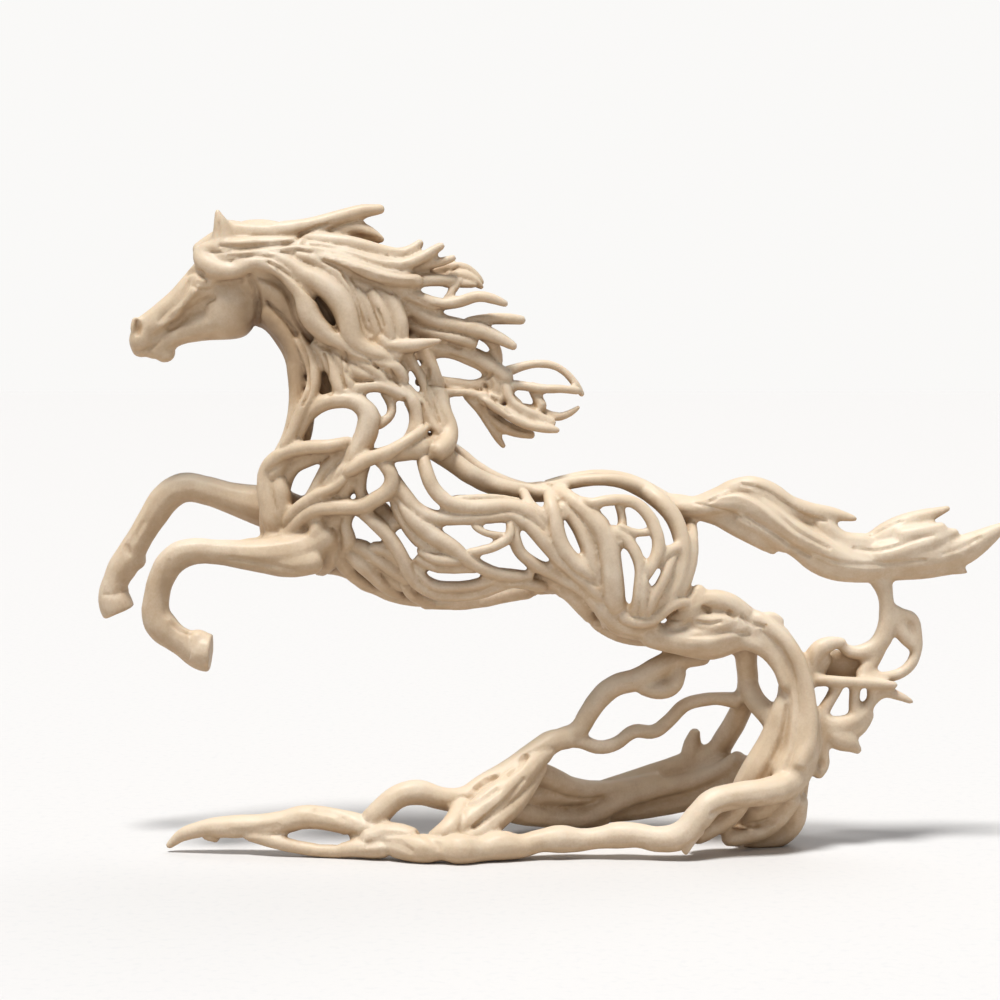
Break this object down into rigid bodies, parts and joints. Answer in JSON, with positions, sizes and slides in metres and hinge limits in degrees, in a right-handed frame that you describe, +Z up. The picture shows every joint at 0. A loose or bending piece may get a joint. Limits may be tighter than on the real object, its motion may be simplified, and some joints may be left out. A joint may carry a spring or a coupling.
{
  "type": "horse sculpture",
  "caption": "Ivory resin table sculpture of a leaping horse built of driftwood-like branches, with a streaming mane and tail and a root base.",
  "frame": {"origin": "centre of the bounding box, on the flat underside", "axes": "+Z up, the horse faces -X with its tail towards +X, and its left flank faces -Y"},
  "size_m": [0.4596, 0.1112, 0.3228],
  "materials": {
    "cast_resin": "satin"
  },
  "bodies": {
    "root": {"horse_sculpture": "cast_resin"}
  },
  "joints": []
}
